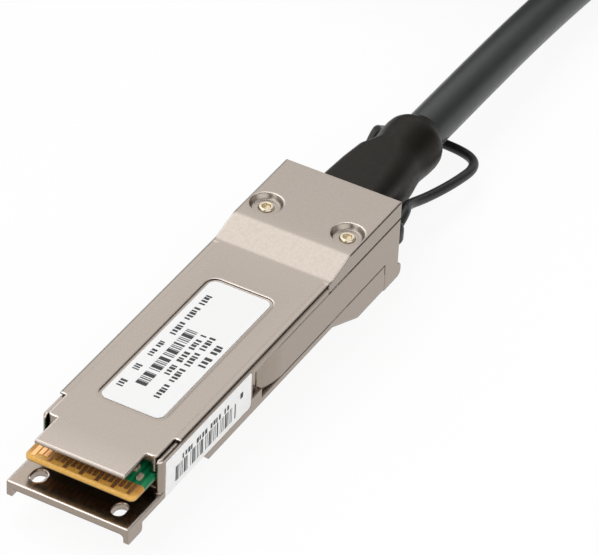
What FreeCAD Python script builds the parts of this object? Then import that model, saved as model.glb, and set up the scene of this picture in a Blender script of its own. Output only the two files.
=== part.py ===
"""A passive direct attach copper cable: two pluggable connectors joined by a round twin-axial cable.

Each connector is modelled in its own frame: +X from the mating edge towards the cable, +Z up, Z = 0 at
the lowest face, which is the foot of the latch slider. Both connectors come from the same functions. The
row's origin is the centre of the near connector's footprint, on the surface it lies on. Millimetres.
"""
import FreeCAD, Part
import math
import os

V = FreeCAD.Vector
ALONG, ACROSS, UP = V(1, 0, 0), V(0, 1, 0), V(0, 0, 1)

# ---- connector: driving dimensions -------------------------------------------------------------
HALF_W = 9.175            # half the connector's width
BODY_END = 71.65          # rear face of the metal body
PLATE_BOTTOM, PLATE_TOP = 4.9, 6.03   # the lip under the paddle card
FOOT_BOTTOM = 3.4         # feet at the lip's front corners
FOOT_LENGTH, FOOT_WIDTH, FOOT_ROOT = 3.6, 0.65, 0.6
SLOT_X, SLOT_Y, SLOT_R, SLOT_HALF = 3.0, 6.15, 0.95, 0.4   # obround slots through the lip
BELLY = 3.55              # underside of the middle of the body
BELLY_START = 20.2        # where the underside steps down from the lip to the belly
RAMP_START, RAMP_END, RAMP_RADIUS = 53.0, 60.4, 1.5   # underside ramp down to the thick rear
REAR_BOTTOM = 0.3         # underside of the thick rear
SHELL_END = 67.75         # rear face of the shell beside its neck

WALL_FRONT = 7.9          # front end of the side walls
WALL_TOP = 11.52
WALL_INNER = 8.45         # half the width between the side walls at the card
WALL_FRONT_RADIUS, WALL_CREST = 1.2, 0.35
PART_LINE = 10.3          # joint of shell and cover at the thick rear
COVER_REAR_START = 51.5   # from here back the cover spans the full width
CAVITY_NARROW = 29.0      # the inside narrows here, to back the latch pockets
CAVITY_HALF = 6.25
CAVITY_END = 58.0
TROUGH_START = 48.0       # a round trough in the floor leads the wires down to the ferrule
NECK_HALF, NECK_BOTTOM = 6.2, 2.42    # the neck that holds the cable boot

COVER_FRONT = 2.83
COVER_BOTTOM, COVER_TOP = 10.7, 11.9
NOSE_BOTTOM = 11.3        # the cover is thinner over the card's edge
FLANGE_BOTTOM = 11.68     # the thin lip of the cover over the side walls
COVER_NARROW, COVER_MID = 6.735, 8.25  # half widths of the cover's stepped front
STEP_1, STEP_2 = 8.3, 12.8             # where those widths begin
STEP_RADIUS = 0.6
SLOPE_START, SLOPE_END, SLOPE_RADIUS = 52.3, 57.1, 3.0
REAR_TOP = 13.13
SKIRT_BOTTOM, SKIRT_THICK = 9.12, 0.75

SCREW_X, SCREW_Y = 61.3, 6.415
SCREW_SINK_R, SCREW_FLOOR_R, SCREW_SINK_DEPTH = 2.4, 2.0, 0.75
SCREW_R, SCREW_CLEAR_R = 0.8, 1.0
SCREW_HEAD_R, SCREW_CROWN_R, SCREW_HEAD_H = 1.2, 1.0, 0.3
HEX_AF, HEX_DEPTH = 1.2, 0.5
SCREW_REACH = 5.2         # how far the shank goes below the joint

LABEL_X0, LABEL_X1, LABEL_HALF = 14.65, 44.54, 5.17
LABEL_SINK, LABEL_THICK, LABEL_GAP, LABEL_RADIUS = 0.16, 0.08, 0.45, 1.6
SIDE_LABEL = (9.25, 31.0, 4.9, 10.85)   # x0, x1, z0, z1
SIDE_LABEL_THICK = 0.1

# ---- latch slider and its pull loop -------------------------------------------------------------
ARM_BOTTOM, ARM_TOP = 4.58, 10.2
ARM_THICK = 1.0
ARM_TIP, ARM_BEND = 34.0, 39.4        # the tip curves inwards over this stretch
ARM_TIP_SINK = 0.95                   # how far the tip lies inside the body's side
POCKET_FRONT = 31.3                   # the cage tab's pocket ahead of the tip
POCKET_DEPTH, POCKET_HEIGHT = 1.05, (6.08, 10.04)
TRAVEL = 2.5                          # how far the latch is pulled
GAP = 0.1                             # running clearance round the slider
CHEEK_START, CHEEK_INNER = 67.85, 6.3
BAR_TOP, LIP_END = 2.3, 72.6
WIRE_R = 0.74                         # the loop's wire
LOBE_R, LOBE_X, LOBE_Y, LOBE_Z = 1.42, 72.6, 7.74, 6.6
LOBE_TALL = 0.6                       # half the straight part of a lobe's height
LOOP_END = 100.4                      # centre line of the loop's far side
LOOP_HALF = [             # the wire hugs the boot, widens, and sinks to pass under the cable
    (LOBE_X, LOBE_Y, LOBE_Z), (75.8, 7.9, 8.3), (79.4, 5.9, 6.3), (84.2, 6.6, 4.8), (90.5, 7.75, 3.9),
    (97.6, 8.1, 2.8), (LOOP_END, 4.6, 2.35),
]

# ---- paddle card --------------------------------------------------------------------------------
CARD_FRONT, CARD_END = 2.7, 38.0
CARD_BOTTOM, CARD_TOP = 8.05, 9.05
CARD_HALF, CARD_REAR_HALF = 8.3, 6.1
CARD_CORNER, CARD_BEVEL = 0.8, 0.22
PAD_PITCH, PAD_WIDTH, PAD_COUNT, PAD_THICK = 0.8, 0.56, 19, 0.05
GROUND_TIP, SIGNAL_TIP, PAD_END = 3.05, 3.75, 5.3
GROUND_EVERY = 3
KEY_X, KEY_Y, KEY_HALF = 9.6, 7.7, 0.6  # keys that locate the card by its notches
CHIP_X, CHIP_L, CHIP_W, CHIP_H, CHIP_PITCH = 17.0, 4.9, 3.8, 1.1, 1.1
WIRE_PAIR_R, WIRE_START, WIRE_BEND = 0.55, 34.0, 40.0
CARD_SPREAD, FERRULE_SPREAD, FERRULE_RISE = 2.8, 1.2, 0.75   # spacing of the pairs at either end

# ---- cable and boot: sections are few-sided, because the facets are limited ---------------------
AXIS_Z = 6.8              # cable axis at the connector
CABLE_R, CABLE_SIDES = 3.15, 12
BOOT_END = 95.0
BOOT_SECTIONS = [         # x, half width, half height, corner radius: flattened, then a round collar
    (BODY_END, 5.3, 4.3, 1.6), (80.0, 4.98, 4.2, 1.7), (84.0, 4.7, 4.1, 2.0), (87.2, 4.38, 4.4, 4.2),
    (90.2, 4.58, 4.58, 4.5), (92.7, 4.5, 4.5, 4.4), (94.0, 3.98, 3.98, 3.9), (BOOT_END, 3.27, 3.27, 3.2),
]
BOOT_CHORDS = 4           # flat faces in each rounded corner
ROOT_HALF, ROOT_START = 4.0, 66.0
FERRULE_START, FERRULE_R, FERRULE_BORE = 58.0, 3.4, 2.4

LOOP_LIMIT = LOOP_END + WIRE_R
ORIGIN_X = LOOP_LIMIT / 2              # centre of the near connector's length

COIL_CENTRE = (182.0, 43.0)             # the coil takes up most of the cable's three metres
COIL_MID_R = 38.5                      # middle of the turns
COIL_COLUMNS, COIL_LAYERS, COIL_SIDES = 3, 4, 36
COIL_LIFT = 1.0                        # the coil lies on its tie
TIE_THICK, TIE_ANGLE, TIE_SPAN = 1.0, 20.0, 13.0
DIAMETER = 2 * CABLE_R
COIL_OUTER = COIL_MID_R + COIL_COLUMNS * CABLE_R
COIL_INNER = COIL_MID_R - COIL_COLUMNS * CABLE_R
TURN_OUT = COIL_OUTER - CABLE_R        # centre line of the outermost turns
FIRST_LAYER = COIL_LIFT + CABLE_R
LAST_LAYER = FIRST_LAYER + (COIL_LAYERS - 1) * DIAMETER
COIL_TOP = COIL_LIFT + COIL_LAYERS * DIAMETER
FAR_SHIFT = V(3.8, COIL_CENTRE[1] + TURN_OUT, 0)

NEAR_RUN = [
    (BOOT_END, 0, AXIS_Z), (113.0, 0, 6.5), (130.5, -0.15, 5.8), (148.5, -0.9, 4.85),
    (166.0, COIL_CENTRE[1] - TURN_OUT, FIRST_LAYER),
]
FAR_RUN = [
    (BOOT_END + FAR_SHIFT.x, FAR_SHIFT.y, AXIS_Z), (112.0, FAR_SHIFT.y, AXIS_Z), (124.0, FAR_SHIFT.y, 8.0),
    (139.0, FAR_SHIFT.y, 12.8), (154.5, FAR_SHIFT.y, 19.6), (169.0, FAR_SHIFT.y, LAST_LAYER),
]


# ---- small helpers ------------------------------------------------------------------------------
def block(x0, x1, y0, y1, z0, z1):
    """A box from its limits."""
    return Part.makeBox(x1 - x0, y1 - y0, z1 - z0, V(x0, y0, z0))


def across(x0, x1, half, z0, z1):
    """A box centred on the connector's mid plane."""
    return block(x0, x1, -half, half, z0, z1)


def both(shape):
    """A shape and its mirror image on the other side of the mid plane."""
    return [shape, shape.mirror(V(0, 0, 0), ACROSS)]


def fused(shapes):
    """One solid out of several that touch or overlap."""
    whole = shapes[0]
    for shape in shapes[1:]:
        whole = whole.fuse(shape)
    return whole.removeSplitter()


def carved(body, tools):
    """A body less several tools."""
    for tool in tools:
        body = body.cut(tool)
    return body.removeSplitter()


def side_profile(points, half):
    """An outline of (x, z) points, extruded across the connector's width."""
    corners = [V(x, -half, z) for x, z in points]
    return Part.Face(Part.makePolygon(corners + corners[:1])).extrude(V(0, 2 * half, 0))


def plan_profile(points, z0, z1):
    """An outline of (x, y) points, extruded upwards."""
    corners = [V(x, y, z0) for x, y in points]
    return Part.Face(Part.makePolygon(corners + corners[:1])).extrude(V(0, 0, z1 - z0))


def mirrored_outline(points):
    """Points of the +Y half of an outline, completed with the -Y half."""
    return points + [(x, -y) for x, y in reversed(points)]


def upright(x, y, radius, z0, z1):
    """A vertical cylinder."""
    return Part.makeCylinder(radius, z1 - z0, V(x, y, z0), UP)


def rounded_plan(x0, x1, y0, y1, z0, z1, radius):
    """A box with its four vertical edges rounded."""
    shape = block(x0, x1, y0, y1, z0, z1)
    return shape.makeFillet(radius, edges_along(shape, UP))


def edges_along(shape, direction, keep=lambda middle: True):
    """Straight edges along a direction, those whose middle passes a test."""
    found = []
    for edge in shape.Edges:
        if not isinstance(edge.Curve, (Part.Line, Part.LineSegment)):
            continue
        along = edge.tangentAt(edge.FirstParameter)
        if abs(abs(along.dot(direction)) - 1) < 1e-6 and keep(edge.CenterOfMass):
            found.append(edge)
    return found


def softened(shape, radius, direction, keep):
    """A shape with chosen straight edges rounded."""
    return shape.makeFillet(radius, edges_along(shape, direction, keep))


def rounded_route(points, share=0.45):
    """Straight runs joined by tangent arcs, as large as the two runs beside each point allow."""
    points = [V(*p) for p in points]
    edges, radii, start = [], [], points[0]
    for before, corner, after in zip(points, points[1:], points[2:]):
        back, ahead = (before - corner), (after - corner)
        shorter = min(back.Length, ahead.Length)
        back.normalize()
        ahead.normalize()
        turn = math.pi - back.getAngle(ahead)
        trim = share * shorter
        radius = trim / math.tan(turn / 2)
        first, last = corner + back * trim, corner + ahead * trim
        centre = corner + (back + ahead).normalize() * (radius / math.cos(turn / 2))
        middle = centre + (corner - centre).normalize() * radius
        edges.append(Part.LineSegment(start, first).toShape())
        edges.append(Part.Arc(first, middle, last).toShape())
        radii.append(radius)
        start = last
    edges.append(Part.LineSegment(start, points[-1]).toShape())
    return Part.Wire(edges), radii


def ring_of_points(centre, across, up, radius, sides):
    """The corners of a regular polygon in the plane of two directions."""
    turns = [2 * math.pi * (k + 0.5) / sides for k in range(sides)]
    return [centre + across * (radius * math.cos(t)) + up * (radius * math.sin(t)) for t in turns]


def closed_wire(corners):
    """A closed polygon through the corners."""
    return Part.makePolygon(corners + corners[:1])


def tube(points, radius, sides):
    """A rod of regular section along a rounded route that starts along X, with its length and radii."""
    path, radii = rounded_route(points)
    section = closed_wire(ring_of_points(V(*points[0]), ACROSS, UP, radius, sides))
    return path.makePipeShell([section], True, False), path.Length, radii


def skinned(rings, twisted=False):
    """A solid with a skin of flat faces over rings of corners, and a flat face at each end."""
    faces = [Part.Face(closed_wire(rings[0])), Part.Face(closed_wire(rings[-1]))]
    for low, high in zip(rings, rings[1:]):
        for k in range(len(low)):
            a, b, c, d = low[k - 1], low[k], high[k], high[k - 1]
            for outline in ([[a, b, c], [a, c, d]] if twisted else [[a, b, c, d]]):
                faces.append(Part.Face(closed_wire(outline)))
    shell = Part.makeShell(faces)
    shell.sewShape()
    solid = Part.Solid(shell)
    return solid if solid.Volume > 0 else solid.reversed()


def corners_cut(points, times):
    """A smoother route: each pass cuts every corner at a quarter of the runs beside it."""
    points = [V(*p) for p in points]
    for _ in range(times):
        cut = [points[0]]
        for here, following in zip(points, points[1:]):
            cut += [here * 0.75 + following * 0.25, here * 0.25 + following * 0.75]
        points = [cut[0]] + cut[2:-2] + [points[-1]]
    return points


def mitred_rod(route, radius, sides):
    """A rod with flat sides along straight runs, mitred where they meet."""
    heading = (route[1] - route[0]).normalize()
    across = heading.cross(UP).normalize()
    rings = [ring_of_points(route[0], across, across.cross(heading), radius, sides)]
    for here, following in zip(route[1:], route[2:] + [None]):
        ahead = (following - here).normalize() if following else heading
        mitre = heading + ahead
        rings.append([c + heading * ((here - c).dot(mitre) / heading.dot(mitre)) for c in rings[-1]])
        heading = ahead
    return skinned(rings)


def stacked(levels, centre, sides):
    """A solid through regular polygons, given as (radius, height) pairs from the bottom up."""
    return skinned([ring_of_points(V(*centre, z), ALONG, ACROSS, radius, sides) for radius, z in levels])


# ---- the shell ----------------------------------------------------------------------------------
def bottom_shell():
    """The die-cast lower half: lip, feet, side walls, latch channels and the neck for the boot."""
    body = side_profile([
        (0, PLATE_BOTTOM), (0, PLATE_TOP), (WALL_FRONT + WALL_FRONT_RADIUS, PLATE_TOP),
        (WALL_FRONT + WALL_FRONT_RADIUS, PART_LINE), (SHELL_END, PART_LINE), (SHELL_END, REAR_BOTTOM),
        (RAMP_END, REAR_BOTTOM), (RAMP_START, BELLY), (BELLY_START, BELLY), (BELLY_START - 1.2, PLATE_BOTTOM),
    ], HALF_W)
    walls = block(WALL_FRONT, COVER_REAR_START - GAP, -HALF_W, HALF_W, PLATE_TOP, WALL_TOP)
    walls = softened(walls, WALL_FRONT_RADIUS, UP, lambda m: m.x < WALL_FRONT + 1)
    walls = walls.makeChamfer(WALL_CREST, front_crest(walls))
    feet = both(foot())
    neck = across(SHELL_END - 1, BODY_END, NECK_HALF, NECK_BOTTOM, PART_LINE)
    body = fused([body, walls, neck] + feet)
    body = carved(body, shell_cuts())
    body = fused([body] + card_seats())
    ramp = (RAMP_START - 1, RAMP_END + 1)
    return softened(body, RAMP_RADIUS, ACROSS, lambda m: m.z < BELLY + 0.1 and ramp[0] < m.x < ramp[1])


def front_crest(walls):
    """The front edges of a block's top: one straight edge and the corner arcs beside it."""
    at_front = [e for e in walls.Edges if e.BoundBox.XMax < WALL_FRONT + 2]
    return [e for e in at_front if e.BoundBox.ZMin > WALL_TOP - 0.01]


def foot():
    """One short foot under a front corner of the lip, with a rounded toe and a rounded root."""
    inner, root, top = HALF_W - FOOT_WIDTH, PLATE_BOTTOM - FOOT_ROOT, PLATE_BOTTOM + 0.3
    rise = FOOT_ROOT * (1 - math.sqrt(0.5))
    middle = V(0, inner - rise, PLATE_BOTTOM - rise)
    edges = [
        Part.Arc(V(0, inner, root), middle, V(0, inner - FOOT_ROOT, PLATE_BOTTOM)).toShape(),
        Part.makePolygon([V(0, y, z) for y, z in (
            (inner - FOOT_ROOT, PLATE_BOTTOM), (inner - FOOT_ROOT, top), (HALF_W, top), (HALF_W, FOOT_BOTTOM),
            (inner, FOOT_BOTTOM), (inner, root),
        )]),
    ]
    shape = Part.Face(Part.Wire(edges)).extrude(V(FOOT_LENGTH, 0, 0))
    return softened(shape, 0.5, ACROSS, lambda m: m.z < FOOT_BOTTOM + 0.01)


def shell_cuts():
    """Everything taken out of the shell: the hollow, the slots, the latch channels and the bores."""
    bore = FERRULE_R + 0.05
    cuts = [
        across(WALL_FRONT - 1, CAVITY_NARROW, WALL_INNER, PLATE_TOP, WALL_TOP + 1),
        across(CAVITY_NARROW - 1, CAVITY_END, CAVITY_HALF, PLATE_TOP, WALL_TOP + 1),
        across(CAVITY_NARROW - 1, COVER_REAR_START, COVER_MID + GAP, COVER_BOTTOM - 0.03, WALL_TOP + 1),
        Part.makeCylinder(bore, ROOT_START - TROUGH_START, V(TROUGH_START, 0, AXIS_Z), ALONG),
        across(ROOT_START, BODY_END + 1, ROOT_HALF, AXIS_Z - ROOT_HALF, PART_LINE + 1),
        across(CAVITY_END - 1, ROOT_START, bore, AXIS_Z, PART_LINE + 1),
    ]
    cuts += both(lip_slot())
    cuts += both(latch_channel())
    cuts += both(upright(SCREW_X, SCREW_Y, SCREW_R, PART_LINE - SCREW_REACH, PART_LINE + 1))
    x0, x1, z0, z1 = SIDE_LABEL
    cuts.append(block(x0, x1, -HALF_W - 1, -HALF_W + SIDE_LABEL_THICK, z0, z1))
    return cuts


def lip_slot():
    """A short obround slot through the lip."""
    low, high = PLATE_BOTTOM - 1, PLATE_TOP + 1
    rounds = [upright(SLOT_X + side * SLOT_HALF, SLOT_Y, SLOT_R, low, high) for side in (-1, 1)]
    middle = block(SLOT_X - SLOT_HALF, SLOT_X + SLOT_HALF, SLOT_Y - SLOT_R, SLOT_Y + SLOT_R, low, high)
    return fused(rounds + [middle])


def latch_channel():
    """The channel in one side that the latch arm slides in, and the cage tab's pocket ahead of it."""
    floor, low = HALF_W - ARM_THICK - GAP, ARM_BOTTOM - 0.08
    channel = block(ARM_BEND - 0.2, BODY_END + 1, floor, HALF_W + 1, low, PART_LINE)
    tip_end = ARM_BEND + TRAVEL + 0.6
    tip = block(ARM_TIP - GAP, tip_end, floor - ARM_TIP_SINK, HALF_W + 1, low, PART_LINE)
    pocket = block(POCKET_FRONT, ARM_TIP, HALF_W - POCKET_DEPTH, HALF_W + 1, *POCKET_HEIGHT)
    return channel.fuse(tip).fuse(pocket)


def card_seats():
    """Two ledges that carry the paddle card, and the keys that locate it."""
    outer, ledge_half = WALL_INNER + 0.1, CARD_REAR_HALF + 0.9
    ledge = block(KEY_X - KEY_HALF, CAVITY_NARROW, ledge_half, outer, PLATE_TOP - 0.1, CARD_BOTTOM)
    key = block(KEY_X - KEY_HALF, KEY_X + KEY_HALF, KEY_Y, outer, CARD_BOTTOM - 0.1, CARD_TOP + 0.05)
    return both(fused([ledge, key]))


# ---- the cover ----------------------------------------------------------------------------------
def top_cover():
    """The upper half: stepped front, label recess, a ramp up to the thick rear, two sunk screw seats."""
    inner = plan_profile(mirrored_outline([
        (COVER_FRONT, COVER_NARROW), (STEP_1, COVER_NARROW),
        (STEP_1, COVER_MID), (COVER_REAR_START, COVER_MID),
    ]), COVER_BOTTOM, COVER_TOP)
    outermost = COVER_MID - 0.01
    inner = softened(inner, STEP_RADIUS, UP, lambda m: m.x < STEP_1 + 0.01 and abs(m.y) > outermost)
    inner = inner.cut(across(COVER_FRONT - 1, STEP_1, HALF_W, COVER_BOTTOM - 1, NOSE_BOTTOM))
    flange = across(STEP_2, COVER_REAR_START, HALF_W, FLANGE_BOTTOM, COVER_TOP)
    skirt = block(STEP_1, CAVITY_NARROW - 0.2, COVER_MID - SKIRT_THICK, COVER_MID, SKIRT_BOTTOM, COVER_BOTTOM)
    skirt = softened(skirt, STEP_RADIUS, UP, lambda m: m.x < STEP_1 + 0.01 and m.y > outermost)
    cover = fused([inner, flange, cover_rear()] + both(skirt))
    cover = carved(cover, cover_cuts())
    return softened(cover, 0.25, ACROSS, lambda m: m.x < COVER_FRONT + 0.01)


def cover_rear():
    """The thick rear of the cover, with a ramp that flows in and out of it."""
    low = PART_LINE + 0.02
    rear = side_profile([
        (COVER_REAR_START, low), (COVER_REAR_START, COVER_TOP), (SLOPE_START, COVER_TOP),
        (SLOPE_END, REAR_TOP), (BODY_END, REAR_TOP), (BODY_END, low),
    ], HALF_W)
    bends = (SLOPE_START - 0.1, SLOPE_END + 0.1)
    return softened(rear, SLOPE_RADIUS, ACROSS, lambda m: m.z > low + 1 and bends[0] < m.x < bends[1])


def cover_cuts():
    """The label's recess, the screw seats and their through holes."""
    floor = COVER_TOP - LABEL_SINK
    cuts = [rounded_plan(LABEL_X0, LABEL_X1, -LABEL_HALF, LABEL_HALF, floor, COVER_TOP + 1, LABEL_RADIUS)]
    for side in (-1, 1):
        floor = V(SCREW_X, side * SCREW_Y, REAR_TOP - SCREW_SINK_DEPTH)
        cuts.append(Part.makeCone(SCREW_FLOOR_R, SCREW_SINK_R, SCREW_SINK_DEPTH, floor))
        cuts.append(upright(SCREW_X, side * SCREW_Y, SCREW_CLEAR_R, PART_LINE - 1, REAR_TOP))
    return cuts


def cover_screw(side):
    """A small round-headed screw with a hexagon socket, seated on the floor of its recess."""
    seat = REAR_TOP - SCREW_SINK_DEPTH
    crown = seat + SCREW_HEAD_H
    place = (SCREW_X, side * SCREW_Y)
    tip = PART_LINE - SCREW_REACH + 0.3
    head = Part.makeCone(SCREW_HEAD_R, SCREW_CROWN_R, SCREW_HEAD_H, V(*place, seat))
    shank = stacked([(SCREW_R, tip), (SCREW_R, seat + 0.1)], place, 12)
    reach = HEX_AF / math.sqrt(3)
    socket = stacked([(reach, crown - HEX_DEPTH), (reach, crown + 1)], place, 6)
    return fused([head, shank]).cut(socket)


def top_label():
    """The label on the floor of the cover's recess."""
    floor, half = COVER_TOP - LABEL_SINK, LABEL_HALF - LABEL_GAP
    return rounded_plan(LABEL_X0 + LABEL_GAP, LABEL_X1 - LABEL_GAP, -half, half,
                        floor, floor + LABEL_THICK, LABEL_RADIUS - LABEL_GAP)


def side_label():
    """The label let into the right side wall."""
    x0, x1, z0, z1 = SIDE_LABEL
    label = block(x0, x1, -HALF_W, -HALF_W + SIDE_LABEL_THICK, z0, z1)
    return softened(label, 0.5, ACROSS, lambda m: m.x > x1 - 0.01)


# ---- paddle card --------------------------------------------------------------------------------
def paddle_card():
    """The circuit card whose bevelled front edge is the plug."""
    outline = mirrored_outline([
        (CARD_FRONT, CARD_HALF), (CAVITY_NARROW - 0.5, CARD_HALF), (CAVITY_NARROW - 0.5, CARD_REAR_HALF),
        (CARD_END, CARD_REAR_HALF),
    ])
    card = plan_profile(outline, CARD_BOTTOM, CARD_TOP)
    reach = KEY_HALF + 0.1
    notch = block(KEY_X - reach, KEY_X + reach, KEY_Y - 0.1, CARD_HALF + 1, CARD_BOTTOM - 1, CARD_TOP + 1)
    card = carved(card, both(notch))
    card = softened(card, CARD_CORNER, UP, lambda m: m.x < CARD_FRONT + 0.01)
    return card.makeChamfer(CARD_BEVEL, edges_along(card, ACROSS, lambda m: m.x < CARD_FRONT + 0.01))


def contact_pads():
    """Gold contact pads on both faces; every third one is a longer ground pad."""
    pads = []
    for k in range(PAD_COUNT):
        y = (k - (PAD_COUNT - 1) / 2) * PAD_PITCH
        tip = GROUND_TIP if k % GROUND_EVERY == 0 else SIGNAL_TIP
        for z in (CARD_TOP, CARD_BOTTOM - PAD_THICK):
            pads.append(block(tip, PAD_END, y - PAD_WIDTH / 2, y + PAD_WIDTH / 2, z, z + PAD_THICK))
    return Part.makeCompound(pads)


def memory_chip():
    """The small memory chip that identifies the cable, with its eight legs."""
    low = CARD_TOP + 0.1
    body = block(CHIP_X - CHIP_L / 2, CHIP_X + CHIP_L / 2, -CHIP_W / 2, CHIP_W / 2, low, low + CHIP_H)
    legs = []
    for k in range(4):
        x = CHIP_X + (k - 1.5) * CHIP_PITCH
        legs += both(block(x - 0.2, x + 0.2, CHIP_W / 2, CHIP_W / 2 + 0.4, CARD_TOP, CARD_TOP + 0.5))
    return Part.makeCompound([body] + legs)


def card_capacitors():
    """Small capacitors near the card's edges, behind the contacts."""
    spots = [(6.6, -6.9), (7.9, -5.6), (6.6, 6.9), (7.9, 5.6), (21.5, -3.0), (21.5, 3.0)]
    return Part.makeCompound([
        block(x - 0.5, x + 0.5, y - 0.28, y + 0.28, CARD_TOP, CARD_TOP + 0.5) for x, y in spots
    ])


def wire_pairs():
    """The insulated pairs, soldered to both faces of the card and gathered into the ferrule."""
    pairs = []
    for face, level in ((1, CARD_TOP + WIRE_PAIR_R), (-1, CARD_BOTTOM - WIRE_PAIR_R)):
        for k in range(4):
            place = k - 1.5
            pairs.append(mitred_rod([
                V(WIRE_START, place * CARD_SPREAD, level), V(WIRE_BEND, place * CARD_SPREAD, level),
                V(FERRULE_START - 0.1, place * FERRULE_SPREAD, AXIS_Z + face * FERRULE_RISE),
            ], WIRE_PAIR_R, 6))
    return Part.makeCompound(pairs)


# ---- cable entry --------------------------------------------------------------------------------
def crimp_ferrule():
    """The sleeve, crimped to a hexagon, that ties the cable's braid to the shell."""
    corners = ring_of_points(V(FERRULE_START, 0, AXIS_Z), ACROSS, UP, FERRULE_R, 6)
    sleeve = Part.Face(closed_wire(corners)).extrude(V(ROOT_START - FERRULE_START, 0, 0))
    return sleeve.cut(Part.makeCylinder(FERRULE_BORE, CAVITY_END, V(FERRULE_START - 1, 0, AXIS_Z), ALONG))


def rounded_section(x, half_w, half_h, radius):
    """A rounded rectangle across the cable's axis, each corner a few chords."""
    corners = []
    for quarter, (sy, sz) in enumerate(((1, 1), (-1, 1), (-1, -1), (1, -1))):
        for k in range(BOOT_CHORDS + 1):
            turn = math.pi / 2 * (quarter + k / BOOT_CHORDS)
            corners.append(V(x, sy * (half_w - radius) + radius * math.cos(turn),
                             AXIS_Z + sz * (half_h - radius) + radius * math.sin(turn)))
    return corners


def strain_relief_boot():
    """The moulded boot: a flattened root in the neck, tapering into a round collar on the cable."""
    taper = skinned([rounded_section(*s) for s in BOOT_SECTIONS], twisted=True)
    root = across(ROOT_START + 0.02, BODY_END + 0.5, ROOT_HALF - 0.02, AXIS_Z - ROOT_HALF + 0.02, PART_LINE)
    root = softened(root, 0.8, ALONG, lambda m: m.z < AXIS_Z)
    return fused([taper, root])


# ---- latch --------------------------------------------------------------------------------------
def latch_slider():
    """The sliding latch: two side arms with inward tips, joined behind the shell by cheeks and a bar."""
    arms = both(latch_arm())
    cheeks = both(block(CHEEK_START, BODY_END, CHEEK_INNER, HALF_W, 0, ARM_TOP))
    bar = across(CHEEK_START, LIP_END, HALF_W, 0, BAR_TOP)
    bar = softened(bar, 0.9, ACROSS, lambda m: m.x > LIP_END - 0.01)
    return fused(arms + cheeks + [bar])


def latch_arm():
    """One side arm: flush with the body's side, its tip curving inwards ahead of the bend."""
    inner, sink, rear = HALF_W - ARM_THICK, ARM_TIP_SINK, CHEEK_START + 0.5
    middle = (ARM_BEND + ARM_TIP) / 2

    def curve(y):
        first, last = V(ARM_BEND, y, ARM_BOTTOM), V(ARM_TIP, y - sink, ARM_BOTTOM)
        return Part.Arc(first, V(middle, y - 0.27 * sink, ARM_BOTTOM), last).toShape()

    def straight(*ends):
        return Part.makePolygon([V(x, y, ARM_BOTTOM) for x, y in ends])

    edges = [
        curve(HALF_W), straight((ARM_TIP, HALF_W - sink), (ARM_TIP, inner - sink)), curve(inner),
        straight((ARM_BEND, inner), (rear, inner), (rear, HALF_W), (ARM_BEND, HALF_W)),
    ]
    sides = [edge for piece in edges for edge in piece.Edges]
    outline = Part.Wire(Part.__sortEdges__(sides))
    return Part.Face(outline).extrude(V(0, 0, ARM_TOP - ARM_BOTTOM))


def pull_loop():
    """The pull loop: a round wire from a moulded lobe on each cheek, round behind the boot."""
    route = LOOP_HALF + [(x, -y, z) for x, y, z in reversed(LOOP_HALF)]
    wire = mitred_rod(corners_cut(route, 2), WIRE_R, 8)
    upper = [(LOBE_R, LOBE_TALL), (0.7 * LOBE_R, LOBE_TALL + 0.75 * LOBE_R), (0.2, LOBE_TALL + LOBE_R)]
    levels = [(r, -z) for r, z in reversed(upper)] + upper
    lobe = stacked([(r, LOBE_Z + z) for r, z in levels], (LOBE_X, LOBE_Y), 12)
    lobe = lobe.cut(block(LOBE_X - 5, BODY_END, LOBE_Y - 5, LOBE_Y + 5, LOBE_Z - 5, LOBE_Z + 5))
    return fused([wire] + both(lobe))


# ---- cable --------------------------------------------------------------------------------------
def cable_run(points, name):
    """A stretch of cable that is not coiled, with its figures printed."""
    rod, length, radii = tube(points, CABLE_R, CABLE_SIDES)
    section = CABLE_SIDES / 2 * CABLE_R ** 2 * math.sin(2 * math.pi / CABLE_SIDES)
    print(name, "length", round(length, 1), "radii", [round(r) for r in radii],
          "volume ratio", round(rod.Volume / (section * length), 4))
    return rod


def bundle(grow):
    """The ring-shaped bundle of the coil's turns, grown by a margin."""
    bevel = CABLE_R * 0.6
    low, high = COIL_LIFT - grow, COIL_TOP + grow
    outer, inner = COIL_OUTER + grow, COIL_INNER - grow
    body = stacked([(outer - bevel, low), (outer, low + bevel), (outer, high - bevel), (outer - bevel, high)],
                   COIL_CENTRE, COIL_SIDES)
    well = stacked([(inner + bevel, low), (inner, low + bevel), (inner, high - bevel), (inner + bevel, high)],
                   COIL_CENTRE, COIL_SIDES)
    return body.cut(well)


def cable_coil():
    """The outer shape of the coil that takes up the rest of the cable."""
    return bundle(0)


def coil_tie():
    """The strap round the coil's bundle, as wide as TIE_SPAN degrees of it."""
    reach = COIL_OUTER + 2 * TIE_THICK
    spread = reach * math.tan(math.radians(TIE_SPAN / 2))
    corners = [(0, 0), (reach, spread), (reach, -spread)]
    wedge = plan_profile(corners, COIL_LIFT - TIE_THICK, COIL_TOP + TIE_THICK)
    wedge.rotate(V(0, 0, 0), UP, TIE_ANGLE)
    wedge.translate(V(*COIL_CENTRE, 0))
    return bundle(TIE_THICK).common(wedge).cut(bundle(0))


def connector():
    """Every piece of one connector, by name, in the connector's own frame."""
    return {
        "bottom_shell": bottom_shell(), "top_cover": top_cover(),
        "cover_screw_left": cover_screw(1), "cover_screw_right": cover_screw(-1),
        "top_label": top_label(), "side_label": side_label(),
        "paddle_card": paddle_card(), "contact_pads": contact_pads(),
        "memory_chip": memory_chip(), "card_capacitors": card_capacitors(),
        "wire_pairs": wire_pairs(), "crimp_ferrule": crimp_ferrule(),
        "strain_relief_boot": strain_relief_boot(),
        "latch_slider": latch_slider(), "pull_loop": pull_loop(),
    }


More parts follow.
